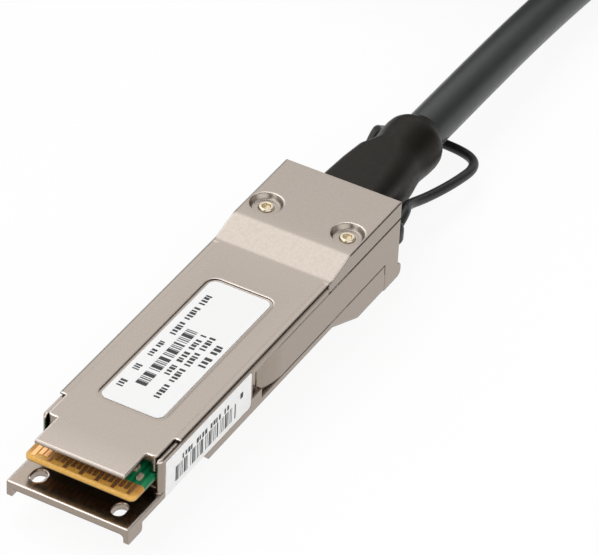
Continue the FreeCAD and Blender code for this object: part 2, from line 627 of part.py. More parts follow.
def model():
    """All nodes in the row's frame."""
    nodes = {}
    for name, shape in connector().items():
        nodes["near_" + name] = shape
        far = shape.copy()
        far.translate(FAR_SHIFT)
        nodes["far_" + name] = far
    nodes["cable_near_run"] = cable_run(NEAR_RUN, "near run")
    nodes["cable_far_run"] = cable_run(FAR_RUN, "far run")
    nodes["cable_coil"] = cable_coil()
    nodes["coil_tie"] = coil_tie()
    for shape in nodes.values():
        shape.translate(V(-ORIGIN_X, 0, 0))
    return nodes


if __name__ == "__main__":
    os.makedirs("parts", exist_ok=True)
    for name, shape in model().items():
        if not shape.isValid() or shape.Volume <= 0:
            print("not valid:", name, shape.Volume)
        shape.exportStep(f"parts/{name}.step")
        print(name, len(shape.Solids), len(shape.Faces), round(shape.Volume, 1))
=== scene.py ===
"""Looks of a direct attach copper cable: finishes, soft pieces, labels and a white studio.

Sizes are millimetres in a connector's own frame, as in the part's source: +X from the mating edge
towards the cable, +Y to the left, +Z up. MM turns them into the row's metres, and ends[END] is
where that connector's frame lies in the row.
"""
import math

import bpy
import bmesh
from mathutils import Matrix, Vector

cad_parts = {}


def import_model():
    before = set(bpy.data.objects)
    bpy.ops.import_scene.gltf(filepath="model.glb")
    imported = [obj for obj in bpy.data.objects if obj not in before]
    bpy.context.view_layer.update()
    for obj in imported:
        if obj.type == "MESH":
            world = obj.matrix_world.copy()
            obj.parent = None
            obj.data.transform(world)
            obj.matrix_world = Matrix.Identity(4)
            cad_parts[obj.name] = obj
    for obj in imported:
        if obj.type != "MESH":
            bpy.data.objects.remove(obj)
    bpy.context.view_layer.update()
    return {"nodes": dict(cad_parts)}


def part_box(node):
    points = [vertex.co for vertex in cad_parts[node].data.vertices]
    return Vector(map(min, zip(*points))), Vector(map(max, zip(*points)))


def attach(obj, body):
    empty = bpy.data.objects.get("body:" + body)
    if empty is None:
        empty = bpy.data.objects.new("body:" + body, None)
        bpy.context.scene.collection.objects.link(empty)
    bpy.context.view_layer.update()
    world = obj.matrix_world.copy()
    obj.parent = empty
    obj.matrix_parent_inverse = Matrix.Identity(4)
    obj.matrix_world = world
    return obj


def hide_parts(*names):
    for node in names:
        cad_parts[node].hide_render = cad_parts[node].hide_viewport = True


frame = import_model()

MM = 0.001


def connector_place(end):
    """A connector's own frame in the row: its mating edge, its mid plane and the surface below."""
    low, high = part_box(end + "_bottom_shell")
    return Vector((low[0], (low[1] + high[1]) / 2, 0))


ends = {end: connector_place(end) for end in ("near", "far")}

# ---- places that several pieces share ------------------------------------------------------------
BODY_END = 71.65          # the rear face of the metal body
BOOT_END = 95.0           # where the cable leaves the boot
AXIS_Z = 6.8              # the height of the cable's axis there
FRONT_X = 13.0            # the stepped front ends here
SLOPE_X = (52.3, 57.0)    # the cover's slope


def at_x(end, x):
    """A place along a connector, in the row's metres."""
    return ends[end].x + x * MM


def in_row(points, end="near"):
    """Points of a connector's frame, in the row's metres."""
    return [ends[end] + Vector(p) * MM for p in points]


# ---- helpers for meshes --------------------------------------------------------------------------
def new_object(name, data, material, body):
    """Links a new object and lets it ride on a body."""
    piece = bpy.data.objects.new(name, data)
    bpy.context.scene.collection.objects.link(piece)
    if material:
        data.materials.append(material)
    if body:
        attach(piece, body)
    return piece


def mesh_from(name, vertices, faces, smooth=True):
    """A mesh with outward normals."""
    mesh = bpy.data.meshes.new(name)
    mesh.from_pydata([tuple(v) for v in vertices], [], faces)
    work = bmesh.new()
    work.from_mesh(mesh)
    bmesh.ops.recalc_face_normals(work, faces=work.faces)
    work.to_mesh(mesh)
    work.free()
    mesh.polygons.foreach_set("use_smooth", [smooth] * len(mesh.polygons))
    return mesh


def lofted(name, rings):
    """A skin over rings of equal counts, with a flat cap at each end."""
    count = len(rings[0])
    vertices = [v for ring in rings for v in ring]
    last = len(vertices) - count
    faces = []
    for first in range(0, last, count):
        for k in range(count):
            a, b = first + k, first + (k + 1) % count
            faces.append((a, b, b + count, a + count))
    faces.append(tuple(range(count)))
    faces.append(tuple(range(last, last + count)))
    return mesh_from(name, vertices, faces)


def split_edges(piece, degrees):
    """Keeps the shading apart across edges that are sharper than an angle."""
    edges = piece.modifiers.new("edges", "EDGE_SPLIT")
    edges.split_angle = math.radians(degrees)


# ---- helpers for node trees ----------------------------------------------------------------------
def socket(sockets, name, kind):
    """The socket of a name and a kind: a Mix node has one for each kind of value."""
    return next(s for s in sockets if s.name == name and s.type == kind)


class Nodes:
    """Short ways to build a node tree. A value is a socket, or a number or vector."""

    def __init__(self, tree):
        self.tree = tree

    def node(self, kind, **settings):
        made = self.tree.nodes.new("ShaderNode" + kind)
        for key, value in settings.items():
            setattr(made, key, value)
        return made

    def feed(self, value, target):
        """Links a value that is a socket, and sets any other."""
        if isinstance(value, bpy.types.NodeSocket):
            self.tree.links.new(value, target)
        else:
            target.default_value = value

    def joined(self, operation, *values):
        """Values joined one after another by a sum, product or maximum."""
        result = values[0]
        for value in values[1:]:
            made = self.node("Math", operation=operation)
            self.feed(result, made.inputs[0])
            self.feed(value, made.inputs[1])
            result = made.outputs[0]
        return result

    def dot(self, first, second):
        """The dot product of two vectors."""
        made = self.node("VectorMath", operation="DOT_PRODUCT")
        self.feed(first, made.inputs[0])
        self.feed(second, made.inputs[1])
        return made.outputs["Value"]

    def split(self, vector):
        """The X, Y and Z of a vector."""
        made = self.node("SeparateXYZ")
        self.feed(vector, made.inputs["Vector"])
        return made.outputs

    def spread(self, value, low, high, out_low=0.0, out_high=1.0, curve="LINEAR"):
        """A value remapped and clamped."""
        made = self.node("MapRange", interpolation_type=curve)
        for key, setting in (("From Min", low), ("From Max", high),
                             ("To Min", out_low), ("To Max", out_high)):
            made.inputs[key].default_value = setting
        self.feed(value, made.inputs["Value"])
        return made.outputs["Result"]

    def blend(self, factor, first, second, kind="RGBA"):
        """Two colours, or two vectors, mixed by a factor."""
        made = self.node("Mix", data_type=kind)
        self.feed(factor, made.inputs["Factor"])
        for name, value in (("A", first), ("B", second)):
            if isinstance(value, tuple):
                value = (*value, 1)
            self.feed(value, socket(made.inputs, name, kind))
        return socket(made.outputs, "Result", kind)


def empty_nodes(owner):
    """The node tree of a material or world, emptied."""
    owner.use_nodes = True
    owner.node_tree.nodes.clear()
    return Nodes(owner.node_tree)


# ---- painted highlights, joints and painted shade of the plated castings -------------------------
# Each pair gives the values where a mask begins and where it is whole.
NOISE_ROUGHNESS = 0.6
NOISE_SPAN = (0.3, 0.7)          # noise lies mostly between these
SIDE_FACE = (0.35, 0.25)         # Z of a side face's normal
TOP_OVER_SIDE_SHADE = (0.3, 0.7)            # Z of a top face's normal, above the painted shade of the sides
# the colour of dark joint lines and of painted shade lines
JOINT_AND_SHADE_DARK = (0.016, 0.011, 0.008)
JOINT_SOFT = 0.02                # how soft a joint's line is at its edges
EDGE_RADIUS = 0.5                # edges are shaded as rounds of this radius
EDGE_SAMPLES = 8
EDGE_TURN = (0.993, 0.95)        # cosine between the rounded and the true normal at an edge
REARWARD = (0.05, 0.2)           # X of a rounded normal where the true one takes its place
FRONTWARD = (-0.05, -0.25)       # X of a rounded normal at the front of a face
HIGHLIGHT_FACE = (0.5, 0.8)           # Z of the normal of a face whose edges get a painted highlight
RAISED = (0.75, 0.95)            # the share of open space over a raised edge
FRONT_SOFT, SLOPE_SOFT = 0.1, 0.3
# painted highlight along the shell wall's top edge
CREST_HIGHLIGHT_NICKEL = (0.80, 0.70, 0.62)
# painted highlight on raised edges that look up and ahead
HIGHLIGHT_NICKEL = (0.97, 0.88, 0.82)
HIGHLIGHT_POLISH = 0.55               # the share of its roughness that an edge with a painted highlight keeps


class Finish(Nodes):
    """A Principled material whose detail is procedural, in the object's own coordinates."""

    def __init__(self, name, IOR=1.45, **constants):
        """Starts a material with the values that are the same all over it."""
        self.material = bpy.data.materials.new(name)
        self.material.use_nodes = True
        super().__init__(self.material.node_tree)
        self.inputs = self.tree.nodes["Principled BSDF"].inputs
        constants["IOR"] = IOR
        for key, value in constants.items():
            self.inputs[key.replace("_", " ")].default_value = value
        self.place = self.node("TexCoord").outputs["Object"]
        self.normal = None
        self.polish = None

    def colour(self, source):
        self.feed(source, self.inputs["Base Color"])

    def roughness(self, source):
        """The roughness, lowered where worn edges are polished."""
        if self.polish:
            source = self.joined("MULTIPLY", source, self.polish)
        self.feed(source, self.inputs["Roughness"])

    def shade(self, normal):
        """Shades with a normal, which the next bump builds on."""
        self.normal = normal
        self.feed(normal, self.inputs["Normal"])

    def bump(self, height, depth, strength):
        """Adds a relief of about depth millimetres."""
        made = self.node("Bump")
        made.inputs["Strength"].default_value = strength
        made.inputs["Distance"].default_value = depth * MM
        self.feed(height, made.inputs["Height"])
        if self.normal:
            self.feed(self.normal, made.inputs["Normal"])
        self.shade(made.outputs["Normal"])

    def noise(self, size, detail=3.0, stretch=(1, 1, 1)):
        """Noise whose grains are about size millimetres, stretched along the axes."""
        made = self.node("TexNoise")
        made.inputs["Scale"].default_value = 1 / (size * MM)
        made.inputs["Detail"].default_value = detail
        made.inputs["Roughness"].default_value = NOISE_ROUGHNESS
        mapped = self.node("Mapping")
        mapped.inputs["Scale"].default_value = stretch
        self.feed(self.place, mapped.inputs["Vector"])
        self.feed(mapped.outputs["Vector"], made.inputs["Vector"])
        return made.outputs["Fac"]

    def mottle(self, size, first, second, span=NOISE_SPAN, detail=3.0):
        """Two colours in clouds or grains of a size."""
        return self.blend(self.spread(self.noise(size, detail), *span), first, second)

    def uneven(self, size, low, high, stretch=(1, 1, 1)):
        """Roughness that wanders between two values, over patches of a size."""
        self.roughness(self.spread(self.noise(size, stretch=stretch), *NOISE_SPAN, low, high))

    def along(self, end, x0, x1):
        """A mask that grows between two places along a connector."""
        return self.spread(self.split(self.place)["X"], at_x(end, x0), at_x(end, x1))

    def above(self, z0, z1):
        """A mask that grows between two heights."""
        return self.spread(self.split(self.place)["Z"], z0 * MM, z1 * MM)

    def looking_up(self, low, high):
        """A mask that grows as a face looks further up."""
        faces = self.node("NewGeometry").outputs
        return self.spread(self.split(faces["True Normal"])["Z"], low, high)

    def on_sides(self, end, boxes):
        """A mask of the side faces in boxes of x0, x1, z0, z1."""
        soft, side = JOINT_SOFT, self.looking_up(*SIDE_FACE)
        masks = [self.joined("MULTIPLY", side,
                             self.along(end, x0 - soft, x0 + soft),
                             self.along(end, x1 + soft, x1 - soft),
                             self.above(z0 - soft, z0 + soft),
                             self.above(z1 + soft, z1 - soft))
                 for x0, x1, z0, z1 in boxes]
        return self.joined("MAXIMUM", *masks)

    def joints(self, end, boxes, base):
        """Draws dark lines, of joints and of painted shade, which don't shine at a grazing angle
        either.
        """
        mask = self.on_sides(end, boxes)
        self.feed(self.blend(mask, (1, 1, 1), (0, 0, 0)), self.inputs["Specular Tint"])
        return self.blend(mask, base, JOINT_AND_SHADE_DARK)

    def round_edges_paint_highlights(self, end, base):
        """Shades the edges as rounds, and paints highlights in bright nickel on some of them.

        The painted highlights go on edges that are raised, look up, and lie at the front of a face,
        on the stepped front or on the slope, where the roughness is lowered too. Edges at the rear
        of a face keep their true normal.
        """
        rounds = self.node("Bevel", samples=EDGE_SAMPLES)
        rounds.inputs["Radius"].default_value = EDGE_RADIUS * MM
        rounded = rounds.outputs["Normal"]
        faces = self.node("NewGeometry").outputs
        rear = self.split(rounded)["X"]
        self.shade(self.blend(self.spread(rear, *REARWARD), rounded, faces["Normal"], "VECTOR"))

        space = self.node("AmbientOcclusion", samples=EDGE_SAMPLES, only_local=True)
        space.inputs["Distance"].default_value = 2 * EDGE_RADIUS * MM
        on_slope = self.joined(
            "MULTIPLY",
            self.along(end, SLOPE_X[0] - SLOPE_SOFT, SLOPE_X[0] + SLOPE_SOFT),
            self.along(end, SLOPE_X[1] + SLOPE_SOFT, SLOPE_X[1] - SLOPE_SOFT))
        in_the_light = self.joined(
            "MAXIMUM",
            self.spread(rear, *FRONTWARD),
            self.along(end, FRONT_X + FRONT_SOFT, FRONT_X - FRONT_SOFT),
            on_slope)
        # painted highlight: bright nickel colour on raised edges that face the light, with less
        # roughness
        painted_highlight = self.joined(
            "MULTIPLY",
            self.spread(self.dot(rounded, faces["True Normal"]), *EDGE_TURN),
            self.spread(space.outputs["AO"], *RAISED),
            self.looking_up(*HIGHLIGHT_FACE),
            in_the_light)
        self.colour(self.blend(painted_highlight, base, HIGHLIGHT_NICKEL))
        self.polish = self.spread(painted_highlight, 0.0, 1.0, 1.0, HIGHLIGHT_POLISH)


# ---- the finishes --------------------------------------------------------------------------------
# Dark lines on side faces, each x0, x1, z0, z1: joints, and painted shade at the cover's flange.
COVER_JOINTS_AND_SHADE = (
    (12.8, 51.45, 11.6, 11.93),    # painted shade on the side of the cover's thin flange
    (51.6, 71.7, 10.25, 10.44),    # the foot of its thick rear
    (57.4, 71.7, 12.97, 13.2),     # the top edge of its thick rear
)
SHELL_JOINTS_AND_SHADE = (
    (12.8, 51.4, 11.47, 11.6),     # painted shade under the flange
    (67.63, 67.8, 3.0, 4.5),       # the rear end of the slot below the cheek
)
SHELL_PAINTED_CREST = ((12.8, 51.4, 11.33, 11.46),)    # a painted highlight along the wall's top edge
SLIDER_JOINTS = (
    (51.6, 71.7, 10.1, 10.3),      # the top edge of the cheek
    (40.0, 67.8, 4.5, 4.67),       # its lower edge
)


def cover_zinc(end):
    """Satin nickel over a zinc casting: a warm grey, grainy on top, plainer at the sides, where a
    darker colour is painted shade.
    """
    f = Finish(end + "_cover_zinc", Metallic=1.0)
    grain = f.noise(0.12, detail=2.0)
    top = f.blend(f.spread(grain, 0.34, 0.66), (0.360, 0.313, 0.275), (0.382, 0.335, 0.295))
    # painted shade: side faces take a darker colour than the top
    base = f.blend(f.looking_up(*TOP_OVER_SIDE_SHADE), (0.335, 0.283, 0.238), top)
    f.round_edges_paint_highlights(end, f.joints(end, COVER_JOINTS_AND_SHADE, base))
    f.uneven(0.5, 0.24, 0.33)
    f.bump(grain, 0.006, 0.1)
    return f.material


def plain_zinc(end, piece, joints, highlight_bands=()):
    """The same plating on the smoother lower shell and slider, where it mirrors softly, with any
    bands of painted highlight given.
    """
    f = Finish(f"{end}_{piece}_zinc", Metallic=1.0)
    cloud = f.spread(f.noise(0.7), *NOISE_SPAN)
    base = f.blend(cloud, (0.325, 0.270, 0.223), (0.348, 0.291, 0.242))
    # bands of painted highlight on the side faces
    if highlight_bands:
        base = f.blend(f.on_sides(end, highlight_bands), base, CREST_HIGHLIGHT_NICKEL)
    f.round_edges_paint_highlights(end, f.joints(end, joints, base))
    f.roughness(f.spread(cloud, 0.0, 1.0, 0.15, 0.22))
    f.bump(f.noise(0.5), 0.006, 0.15)
    return f.material


def screw_steel():
    """Bright nickel with a faint brass tint."""
    f = Finish("screw_steel", Base_Color=(0.66, 0.58, 0.45, 1), Metallic=1.0)
    f.uneven(0.3, 0.15, 0.3)
    f.bump(f.noise(0.12), 0.006, 0.3)
    return f.material


def label_white():
    """Satin white polyester label stock."""
    f = Finish("label_white", Base_Color=(0.88, 0.88, 0.875, 1), IOR=1.5)
    f.uneven(1.2, 0.38, 0.48)
    f.bump(f.noise(0.25, detail=1.0), 0.002, 0.4)
    return f.material


def label_ink():
    """Thermal transfer print, a little uneven."""
    f = Finish("label_ink", Roughness=0.5)
    f.colour(f.mottle(0.09, (0.04, 0.04, 0.042), (0.012, 0.012, 0.014), (0.35, 0.65)))
    return f.material


CARD_NOSE_SHADE_X = (3.3, 4.1)       # painted shade of the cover's nose on the bare edge, from here
CARD_MASK_X = (5.35, 5.45)     # the green mask begins here
CARD_UNDERSIDE_SHADE_Z = (8.3, 8.5)        # the card's upper face lies above this; below, a dark brown is painted shade of the underside
TRACE_SCALE, TRACE_DISTORTION = 340, 1.5


def card_laminate(end):
    """Circuit card: bare yellow laminate at the bevelled edge, green mask over traces behind it,
    and painted shade: darker laminate under the cover's nose and a dark brown underside.
    """
    f = Finish(end + "_card_laminate", Roughness=0.4, IOR=1.5)
    bare = f.mottle(0.35, (0.70, 0.37, 0.06), (0.80, 0.46, 0.10), (0.35, 0.65), detail=2.0)
    # painted shade of the cover's nose on the bare laminate
    bare = f.blend(f.along(end, *CARD_NOSE_SHADE_X), bare, (0.55, 0.25, 0.04))
    traces = f.node("TexWave", wave_type="BANDS", bands_direction="Y")
    traces.inputs["Scale"].default_value = TRACE_SCALE
    traces.inputs["Distortion"].default_value = TRACE_DISTORTION
    f.feed(f.place, traces.inputs["Vector"])
    on_trace = f.spread(traces.outputs["Fac"], 0.45, 0.6)
    mask = f.blend(on_trace, (0.0, 0.17, 0.06), (0.006, 0.30, 0.12))
    upper = f.blend(f.along(end, *CARD_MASK_X), bare, mask)
    # painted shade: the underside is dark brown
    f.colour(f.blend(f.above(*CARD_UNDERSIDE_SHADE_Z), (0.13, 0.105, 0.07), upper))
    f.bump(f.noise(0.2), 0.006, 0.3)
    return f.material


def contact_gold():
    """Hard gold plating, brushed along the contacts."""
    f = Finish("contact_gold", Base_Color=(0.95, 0.50, 0.22, 1), Metallic=0.87)
    f.uneven(0.2, 0.24, 0.4, stretch=(0.2, 1, 1))
    f.bump(f.noise(0.15, stretch=(0.1, 1, 1)), 0.004, 0.3)
    return f.material


def chip_black():
    """Moulded epoxy of the memory chip."""
    f = Finish("chip_black", Base_Color=(0.02, 0.02, 0.022, 1), Roughness=0.55)
    f.bump(f.noise(0.1), 0.01, 0.4)
    return f.material


def capacitor_ceramic():
    """Fired tan ceramic."""
    f = Finish("capacitor_ceramic", Roughness=0.5)
    f.colour(f.mottle(0.3, (0.40, 0.30, 0.22), (0.5, 0.41, 0.32), (0.4, 0.6)))
    return f.material


def wire_insulation():
    """Pale fluoropolymer of the inner wires."""
    f = Finish("wire_insulation", Base_Color=(0.75, 0.75, 0.73, 1), Roughness=0.45)
    f.bump(f.noise(0.6), 0.01, 0.3)
    return f.material


def ferrule_brass():
    """Plain drawn brass."""
    f = Finish("ferrule_brass", Base_Color=(0.6, 0.5, 0.32, 1), Metallic=1.0, Roughness=0.35)
    f.bump(f.noise(0.5, stretch=(0.2, 1, 1)), 0.01, 0.4)
    return f.material


def boot_rubber():
    """Black-brown moulded elastomer: satin, with a fine matt grain."""
    f = Finish("boot_rubber", IOR=1.27, Specular_Tint=(1.0, 0.93, 0.82, 1))
    f.colour(f.mottle(2.5, (0.0048, 0.0036, 0.0024), (0.0070, 0.0054, 0.0038)))
    f.uneven(0.8, 0.37, 0.47)
    f.bump(f.noise(0.14), 0.008, 0.3)
    return f.material


def loop_plastic():
    """Dark flexible plastic of the pull loop."""
    f = Finish("loop_plastic", Base_Color=(0.009, 0.010, 0.0095, 1), IOR=1.42)
    f.uneven(0.7, 0.33, 0.45)
    f.bump(f.noise(0.3), 0.01, 0.3)
    return f.material


def cable_jacket():
    """Extruded PVC jacket: dark grey, faintly glossy, with the strands' slight unevenness."""
    f = Finish("cable_jacket", IOR=1.5, Sheen_Weight=0.12, Sheen_Roughness=0.5)
    f.colour(f.mottle(5.0, (0.0075, 0.009, 0.0095), (0.0105, 0.012, 0.0125)))
    f.uneven(0.9, 0.32, 0.42)
    f.bump(f.noise(0.2), 0.008, 0.3)
    f.bump(f.noise(6.0, detail=1.0), 0.12, 0.35)
    return f.material


def tie_strap():
    """Black hook-and-loop tape."""
    f = Finish("tie_strap", Roughness=0.85)
    f.colour(f.mottle(0.25, (0.008, 0.008, 0.009), (0.03, 0.03, 0.032), (0.35, 0.65)))
    f.bump(f.noise(0.3, detail=4.0), 0.08, 0.8)
    return f.material


steel, gold, brass = screw_steel(), contact_gold(), ferrule_brass()
label, ink = label_white(), label_ink()
chip, ceramic, insulation = chip_black(), capacitor_ceramic(), wire_insulation()
rubber, plastic, jacket, strap = boot_rubber(), loop_plastic(), cable_jacket(), tie_strap()


# ---- the carried-over CAD nodes ------------------------------------------------------------------
WELD = 0.001              # points nearer than this are one
SHARP_ANGLE = 22          # unbevelled pieces keep sharp edges from here, in degrees
FLAT_ANGLE = 0.5          # faces within this make one flat face before the bevel
BEVEL_ANGLE, BEVEL_STEPS = 32, 3


def dress(node, material, bevel):
    """Gives a CAD node its finish and, where a bevel is given, fine rounds on its sharp edges."""
    piece = frame["nodes"][node]
    piece.data.materials.clear()
    piece.data.materials.append(material)
    piece.data.polygons.foreach_set("use_smooth", [True] * len(piece.data.polygons))
    weld = piece.modifiers.new("weld", "WELD")
    weld.merge_threshold = WELD * MM
    if not bevel:
        split_edges(piece, SHARP_ANGLE)
        return
    flat = piece.modifiers.new("flat", "DECIMATE")
    flat.decimate_type = "DISSOLVE"
    flat.angle_limit = math.radians(FLAT_ANGLE)
    rounds = piece.modifiers.new("rounds", "BEVEL")
    rounds.width = bevel * MM
    rounds.segments = BEVEL_STEPS
    rounds.limit_method = "ANGLE"
    rounds.angle_limit = math.radians(BEVEL_ANGLE)
    rounds.harden_normals = True
    even = piece.modifiers.new("even", "WEIGHTED_NORMAL")
    even.keep_sharp = True


def dress_connector(end):
    """The finishes of one connector's CAD pieces, each with its bevel if it has one."""
    for name, material, bevel in (
        ("bottom_shell", plain_zinc(end, "shell", SHELL_JOINTS_AND_SHADE, SHELL_PAINTED_CREST), 0.17),
        ("latch_slider", plain_zinc(end, "slider", SLIDER_JOINTS), 0.17),
        ("top_cover", cover_zinc(end), None),
        ("cover_screw_left", steel, 0.08),
        ("cover_screw_right", steel, 0.08),
        ("top_label", label, 0.02),
        ("side_label", label, 0.02),
        ("paddle_card", card_laminate(end), 0.04),
        ("contact_pads", gold, None),
        ("memory_chip", chip, None),
        ("card_capacitors", ceramic, None),
        ("wire_pairs", insulation, None),
        ("crimp_ferrule", brass, None),
    ):
        dress(end + "_" + name, material, bevel)


# ---- the strain relief boot ----------------------------------------------------------------------
BOOT_STATIONS = [         # x, half width, half height, corner radius at the left and at the right
    (66.0, 4.0, 4.0, 0.8, 0.8),            # inside the neck
    (70.5, 4.0, 4.0, 0.8, 0.8),
    (70.6, 5.3, 4.3, 1.6, 2.0),            # the flattened root
    (BODY_END, 5.3, 4.3, 1.6, 2.0),
    (76.0, 5.14, 4.25, 1.6, 2.5),
    (80.0, 4.98, 4.2, 1.7, 2.8),
    (84.0, 4.7, 4.15, 2.0, 3.3),
    (85.8, 4.5, 4.25, 3.2, 3.9),
    (87.2, 4.38, 4.38, 4.2, 4.3),          # the waist before the round collar
    (88.6, 4.48, 4.48, 4.42, 4.42),
    (90.2, 4.64, 4.64, 4.64, 4.64),
    (91.6, 4.68, 4.68, 4.68, 4.68),
    (92.5, 4.58, 4.58, 4.58, 4.58),
    (93.1, 4.34, 4.34, 4.34, 4.34),
    (93.6, 4.0, 4.0, 4.0, 4.0),
    (94.2, 3.6, 3.6, 3.6, 3.6),
    (BOOT_END, 3.2, 3.2, 3.2, 3.2),
]
CORNER_POINTS = 24
BOOT_SHARP_ANGLE = 50


def section_ring(x, half_w, half_h, left, right):
    """Points round a rounded rectangle across the cable's axis, by equal angles in its corners."""
    points = []
    for k, (sy, sz) in enumerate(((1, 1), (-1, 1), (-1, -1), (1, -1))):
        radius = left if sy > 0 else right
        for j in range(CORNER_POINTS):
            a = math.pi / 2 * (k + j / (CORNER_POINTS - 1))
            points.append((x, sy * (half_w - radius) + radius * math.cos(a),
                           AXIS_Z + sz * (half_h - radius) + radius * math.sin(a)))
    return points


def boot(end):
    """The moulded boot: a flattened root that tapers into a round collar."""
    rings = [in_row(section_ring(*station), end) for station in BOOT_STATIONS]
    piece = new_object(end + "_boot", lofted(end + "_boot", rings), rubber, "cable")
    split_edges(piece, BOOT_SHARP_ANGLE)
    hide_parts(end + "_strain_relief_boot")


# ---- the pull loop -------------------------------------------------------------------------------
WIRE_R = 0.74
LOBE = (72.6, 7.74, 6.6)
LOBE_R, LOBE_TALL = 1.42, 0.6
LOBE_POINTS = 32
LOBE_TILTS = range(-80, 81, 10)
LOOP_RIGHT = [LOBE, (75.8, 7.9, 8.3), (79.4, 5.9, 6.3), (84.2, 6.6, 4.8), (90.5, 7.75, 3.9),
              (97.3, 8.05, 2.8), (100.1, 4.6, 2.35)]         # mirrored, with Y to the right
LOOP_LEFT = [LOBE, (75.8, 7.6, 6.9), (79.4, 5.9, 4.6), (87.0, 5.6, 3.4), (92.5, 6.1, 6.7),
             (97.3, 8.0, 2.8), (100.1, 4.6, 2.35)]           # hangs a little lower, then arches


def smooth_wire(name, route, radius, material, body, steps):
    """A round wire along a spline that has the route as its control points."""
    curve = bpy.data.curves.new(name, "CURVE")
    curve.dimensions = "3D"
    spline = curve.splines.new("NURBS")
    spline.points.add(len(route) - 1)
    for point, place in zip(spline.points, route):
        point.co = (*place, 1)
    spline.order_u = 3
    spline.use_endpoint_u = True
    spline.resolution_u = steps
    curve.bevel_depth = radius
    curve.bevel_resolution = 8
    curve.use_fill_caps = True
    return new_object(name, curve, material, body)


def lobe_ring(side, height, radius):
    """A level ring of a lobe, flat where it meets the cheek of the latch."""
    turns = [2 * math.pi * k / LOBE_POINTS for k in range(LOBE_POINTS)]
    return [(max(LOBE[0] + radius * math.cos(t), BODY_END),
             side * (LOBE[1] + radius * math.sin(t)), LOBE[2] + height) for t in turns]


def pull_loop(end):
    """The loop's wire as a smooth spline, and the lobes that hold its ends."""
    route = in_row(LOOP_LEFT + [(x, -y, z) for x, y, z in reversed(LOOP_RIGHT)], end)
    wire = smooth_wire(end + "_pull_wire", route, WIRE_R * MM, plastic, end + "_latch", steps=16)
    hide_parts(end + "_pull_loop")
    tilts = [math.radians(tilt) for tilt in LOBE_TILTS]
    profile = [(math.copysign(LOBE_TALL, t) + LOBE_R * math.sin(t), LOBE_R * math.cos(t))
               for t in tilts]
    for side, word in ((1, "left"), (-1, "right")):
        name = f"{end}_pull_lobe_{word}"
        rings = [in_row(lobe_ring(side, z, r), end) for z, r in profile]
        lobe = new_object(name, lofted(name, rings), plastic, end + "_latch")


# ---- print on the labels: plain bars and blocks --------------------------------------------------
PRINT_THICK = 0.012
BOX_FACES = ((0, 3, 2, 1), (4, 5, 6, 7), (0, 1, 5, 4), (1, 2, 6, 5), (2, 3, 7, 6), (3, 0, 4, 7))
TOP_PRINT_Z = 11.82
SIDE_PRINT_Y = -9.175
BLOCK_WIDTHS = (0.50, 0.64, 0.78)              # shares of a block's pitch, in turn
BLOCK_LIFTS = (0.0, 0.12, 0.0, 0.0, 0.12)      # shares of its height left off below, in turn
BAR_WIDTHS = (0.34, 0.9, 0.72, 0.3, 0.5)       # shares of a bar's pitch, in turn
BAR_GAP = 9                                    # every so many bars, one is left out


def blocks(u0, u1, v0, v1, count, gap_every):
    """A row of small blocks, as long as a line of print, with a gap after every few."""
    pitch = (u1 - u0) / count
    return [(u0 + k * pitch, u0 + (k + BLOCK_WIDTHS[k % 3]) * pitch,
             v0 + BLOCK_LIFTS[k % 5] * (v1 - v0), v1)
            for k in range(count) if (k + 1) % gap_every]


def stripes(u0, u1, v0, v1, count, weight):
    """A field of upright bars in a few widths."""
    pitch = (u1 - u0) / count
    return [(u0 + k * pitch, u0 + (k + weight * BAR_WIDTHS[k % 5]) * pitch, v0, v1)
            for k in range(count) if k % BAR_GAP]


TOP_PRINT = (
    stripes(19.5, 33.4, 0.45, 2.1, 36, 1.1)
    + blocks(31.1, 41.1, 2.75, 3.65, 16, 6)
    + blocks(23.5, 33.4, -0.95, -0.1, 16, 5)
    + blocks(18.7, 33.5, -2.3, -1.4, 23, 6)
    + blocks(27.2, 33.4, -4.15, -3.05, 8, 4)
    + blocks(25.7, 29.4, 3.0, 3.8, 7, 4)
    + blocks(22.2, 23.5, 3.0, 4.0, 3, 9)
    + blocks(18.2, 19.8, 3.0, 4.0, 3, 9)
)
SIDE_PRINT = (
    stripes(11.3, 27.1, 5.85, 8.3, 38, 0.87)
    + blocks(13.4, 25.4, 8.5, 9.35, 17, 5)
    + [(28.1, 28.8, 8.2, 9.1)]
)


def print_piece(name, fields, lay):
    """Thin solid fields of ink, laid out on a label."""
    vertices, faces = [], []
    for u0, u1, v0, v1 in fields:
        first = len(vertices)
        vertices += [lay(u, v, w) for w in (0, PRINT_THICK)
                     for u, v in ((u0, v0), (u1, v0), (u1, v1), (u0, v1))]
        faces += [[first + k for k in face] for face in BOX_FACES]
    new_object(name, mesh_from(name, vertices, faces, smooth=False), ink, "cable")


def labels(end):
    """The print on both labels of a connector."""
    print_piece(end + "_top_print", TOP_PRINT,
                lambda x, y, w: ends[end] + Vector((x, y, TOP_PRINT_Z + w)) * MM)
    print_piece(end + "_side_print", SIDE_PRINT,
                lambda x, z, w: ends[end] + Vector((x, SIDE_PRINT_Y - w, z)) * MM)


# ---- the cable, in the near connector's frame ----------------------------------------------------
CABLE_D = 6.3
COIL_CENTRE = (182.0, 43.0)
COIL_COLUMNS = (44.8, 38.5, 32.2)
COIL_LAYERS = (4.15, 10.45, 16.75, 23.05)
COIL_TURNS = 11.5
POINTS_PER_TURN = 24
CROSSOVER = 0.24          # share of a turn over which the cable moves on to its next place
NEAR_RUN = [(BOOT_END, 0, AXIS_Z), (113, 0.05, 6.48), (130.5, 0.2, 5.6), (148.5, -0.4, 4.8),
            (166, -1.8, 4.15)]
FAR_RUN = [(98.8, 87.8, AXIS_Z), (112, 87.8, AXIS_Z), (124, 87.8, 8.0), (139, 87.8, 12.8),
           (154.5, 87.8, 19.6), (169, 87.8, 23.05)]


